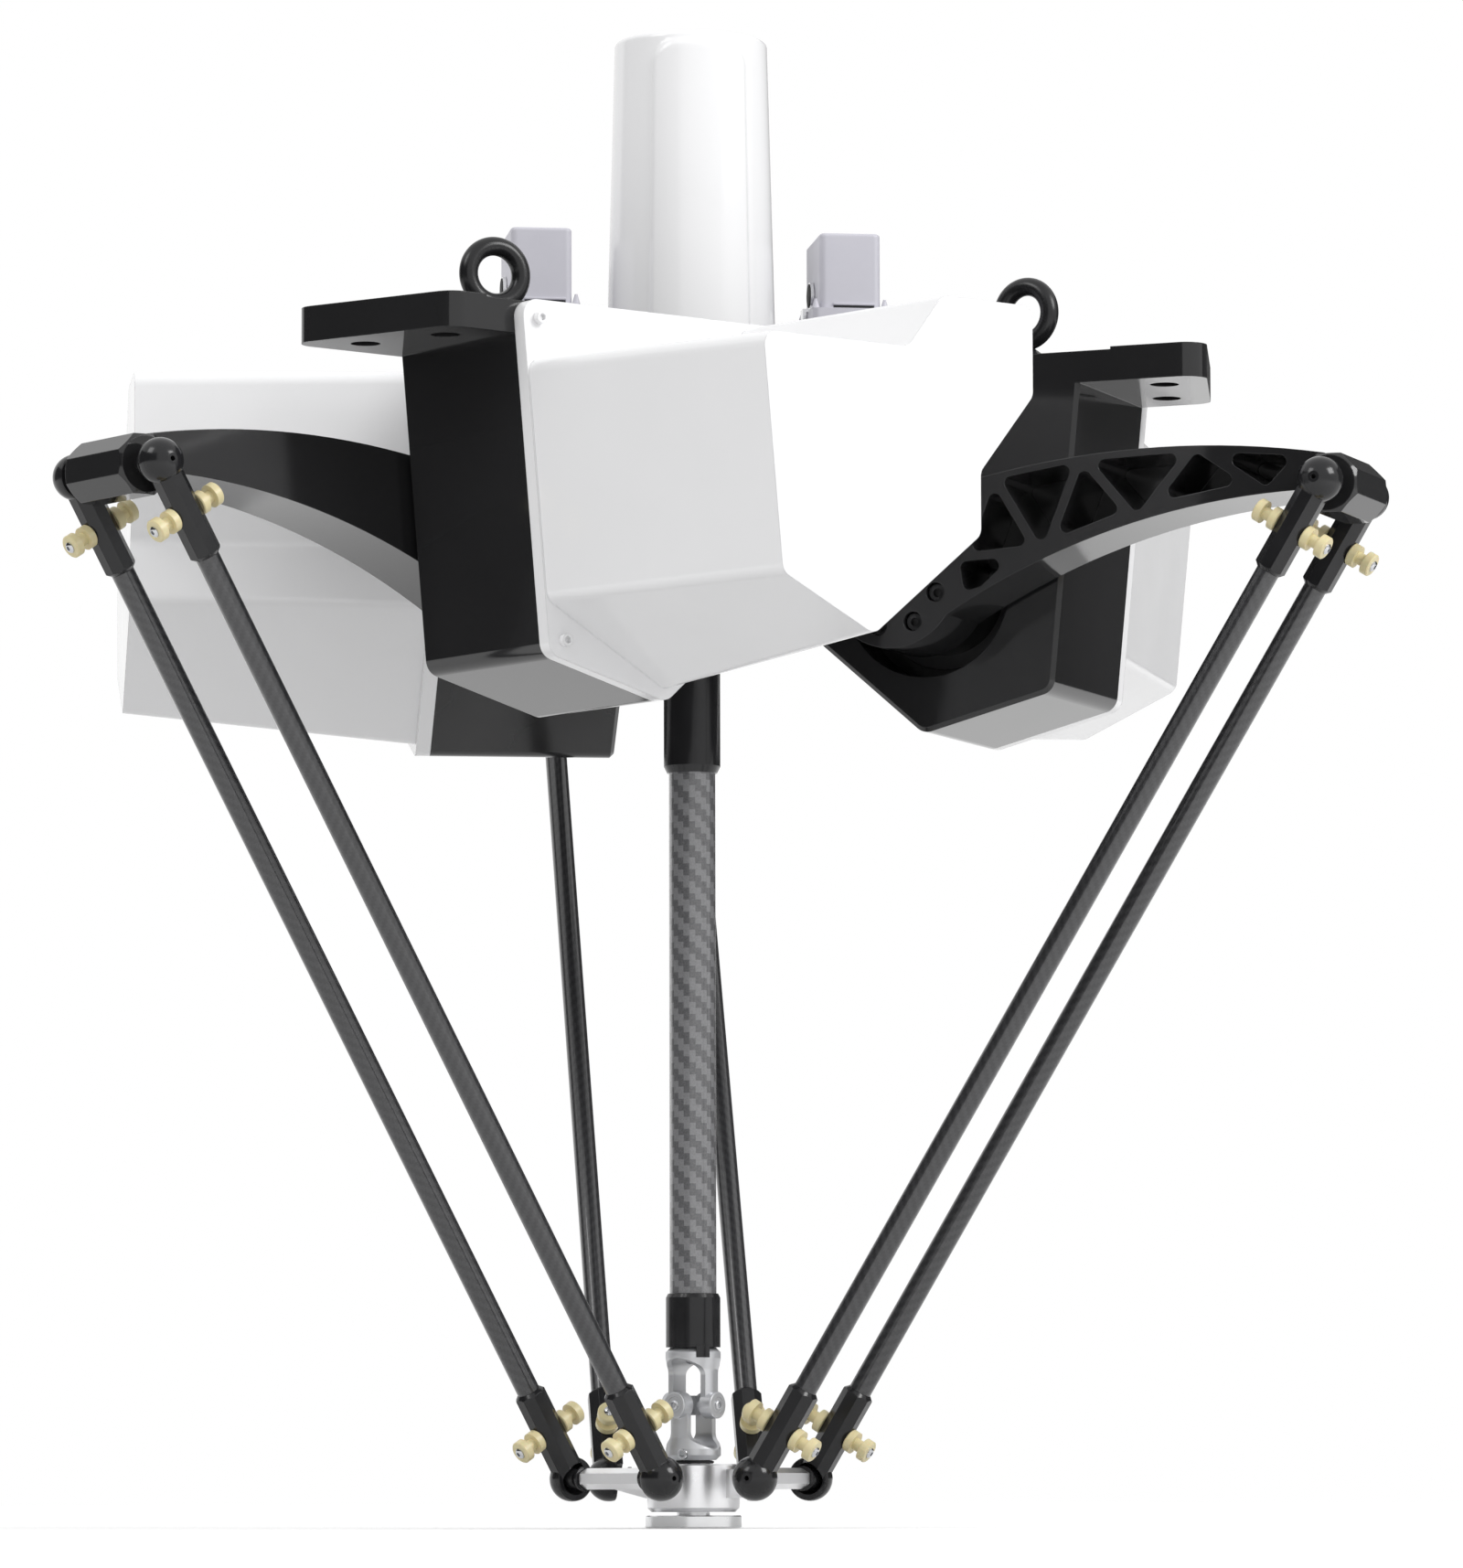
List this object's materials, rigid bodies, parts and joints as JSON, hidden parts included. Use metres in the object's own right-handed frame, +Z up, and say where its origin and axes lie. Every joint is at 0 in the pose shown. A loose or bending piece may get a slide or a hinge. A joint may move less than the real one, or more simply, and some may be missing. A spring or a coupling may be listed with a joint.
{
  "type": "parallel robot",
  "caption": "Ceiling-mounted delta robot: geared shoulder drives, lightweight arms, paired carbon forearm rods, a tool platform and a central telescoping spin shaft.",
  "frame": {"origin": "on the robot's vertical axis, in the plane of the machined mounting pads on the ears", "axes": "+Z up, towards the ceiling or gantry; leg 1 lies towards +Y, legs 2 and 3 at 120 degree steps counter-clockwise seen from above"},
  "size_m": [0.9536, 1, 1.0908],
  "materials": {
    "black_paint": "gloss black paint on cast aluminium",
    "white_paint": "gloss white paint",
    "gearbox_steel": "machined steel gearbox body",
    "bright_steel": "turned and milled steel",
    "motor_paint": "matt black paint",
    "black_steel": "blackened steel",
    "carbon_tube": "carbon fibre twill under clear resin",
    "black_anodised": "black anodised aluminium",
    "cream_plastic": "moulded cream plastic",
    "connector_grey": "grey powder coated die casting",
    "hub_aluminium": "machined aluminium"
  },
  "bodies": {
    "base": {"leg_housing_1": "black_paint", "motor_cover_1": "white_paint", "gearbox_1": "gearbox_steel", "servo_motor_1": "motor_paint", "eye_bolt_1": "black_steel", "leg_housing_2": "black_paint", "motor_cover_2": "white_paint", "gearbox_2": "gearbox_steel", "servo_motor_2": "motor_paint", "eye_bolt_2": "black_steel", "leg_housing_3": "black_paint", "motor_cover_3": "white_paint", "gearbox_3": "gearbox_steel", "servo_motor_3": "motor_paint", "eye_bolt_3": "black_steel", "centre_hub": "black_paint", "cover_screws": "white_paint", "tower_cover": "white_paint", "spin_motor": "motor_paint", "connector_bases": "connector_grey", "connector_hoods": "connector_grey", "shaft_bearing": "bright_steel"},
    "left_lever": {"left_lever": "bright_steel"},
    "right_lever": {"right_lever": "bright_steel"},
    "arm_1": {"arm_1": "black_paint", "output_flange_1": "bright_steel", "elbow_studs_1": "black_steel"},
    "forearm_1": {"forearm_tubes_1": "carbon_tube", "upper_rod_ends_1": "black_anodised", "lower_rod_ends_1": "black_anodised", "rod_spools_1": "cream_plastic"},
    "arm_2": {"arm_2": "black_paint", "output_flange_2": "bright_steel", "elbow_studs_2": "black_steel"},
    "forearm_2": {"forearm_tubes_2": "carbon_tube", "upper_rod_ends_2": "black_anodised", "lower_rod_ends_2": "black_anodised", "rod_spools_2": "cream_plastic"},
    "arm_3": {"arm_3": "black_paint", "output_flange_3": "bright_steel", "elbow_studs_3": "black_steel"},
    "forearm_3": {"forearm_tubes_3": "carbon_tube", "upper_rod_ends_3": "black_anodised", "lower_rod_ends_3": "black_anodised", "rod_spools_3": "cream_plastic"},
    "platform": {"platform_hub": "hub_aluminium", "wrist_bars": "bright_steel", "wrist_studs": "black_steel", "tool_bearing": "bright_steel"},
    "drive_shaft": {"drive_yoke": "bright_steel", "drive_cross": "bright_steel", "spline_shaft": "bright_steel"},
    "tool_shaft": {"shaft_tube": "carbon_tube", "shaft_sleeve": "black_anodised", "lower_collar": "black_anodised", "upper_yoke": "bright_steel"},
    "tool": {"tool_flange": "bright_steel", "lower_yoke": "bright_steel", "joint_cross": "bright_steel"}
  },
  "joints": [
    {"name": "arm_1_hinge", "type": "hinge", "parent": "base", "child": "arm_1", "pos_m": [0, 0.17, -0.171], "axis": [-1, 0, 0], "range_deg": [0, 18]},
    {"name": "elbow_1_hinge", "type": "hinge", "parent": "arm_1", "child": "forearm_1", "pos_m": [0, 0.50088, -0.11859], "axis": [-1, 0, 0], "range_deg": [-18.01, 0.01]},
    {"name": "arm_2_hinge", "type": "hinge", "parent": "base", "child": "arm_2", "pos_m": [-0.14722, -0.085, -0.171], "axis": [0.5, -0.866, 0], "range_deg": [0, 18]},
    {"name": "elbow_2_hinge", "type": "hinge", "parent": "arm_2", "child": "forearm_2", "pos_m": [-0.43377, -0.25044, -0.11859], "axis": [0.5, -0.866, 0], "range_deg": [-18.01, 0.01]},
    {"name": "arm_3_hinge", "type": "hinge", "parent": "base", "child": "arm_3", "pos_m": [0.14722, -0.085, -0.171], "axis": [0.5, 0.866, 0], "range_deg": [0, 18]},
    {"name": "elbow_3_hinge", "type": "hinge", "parent": "arm_3", "child": "forearm_3", "pos_m": [0.43377, -0.25044, -0.11859], "axis": [0.5, 0.866, 0], "range_deg": [-18.01, 0.01]},
    {"name": "platform_slide", "type": "slide", "parent": "base", "child": "platform", "axis": [0, 0, -1], "range_m": [-0.00001, 0.10482]},
    {"name": "drive_spin", "type": "hinge", "parent": "base", "child": "drive_shaft", "pos_m": [0, 0, -0.1], "axis": [0, 0, 1], "continuous": true},
    {"name": "telescope_slide", "type": "slide", "parent": "drive_shaft", "child": "tool_shaft", "axis": [0, 0, -1], "range_m": [-0.00001, 0.10482]},
    {"name": "tool_spin", "type": "hinge", "parent": "platform", "child": "tool", "pos_m": [0, 0, -0.85177], "axis": [0, 0, 1], "continuous": true},
    {"name": "left_lever_hinge", "type": "hinge", "parent": "base", "child": "left_lever", "pos_m": [-0.1369, 0.006, 0.0535], "axis": [1, 0, 0], "range_deg": [0, 90]},
    {"name": "right_lever_hinge", "type": "hinge", "parent": "base", "child": "right_lever", "pos_m": [0.0911, 0.006, 0.0535], "axis": [1, 0, 0], "range_deg": [0, 90]}
  ],
  "couplings": [
    {"joint": "elbow_1_hinge", "follows": "arm_1_hinge", "ratio": -1},
    {"joint": "arm_2_hinge", "follows": "arm_1_hinge", "ratio": 1},
    {"joint": "elbow_2_hinge", "follows": "arm_1_hinge", "ratio": -1},
    {"joint": "arm_3_hinge", "follows": "arm_1_hinge", "ratio": 1},
    {"joint": "elbow_3_hinge", "follows": "arm_1_hinge", "ratio": -1},
    {"joint": "platform_slide", "follows": "arm_1_hinge", "m_per_rad": 0.33362},
    {"joint": "telescope_slide", "follows": "arm_1_hinge", "m_per_rad": 0.33362},
    {"joint": "tool_spin", "follows": "drive_spin", "ratio": 1}
  ]
}
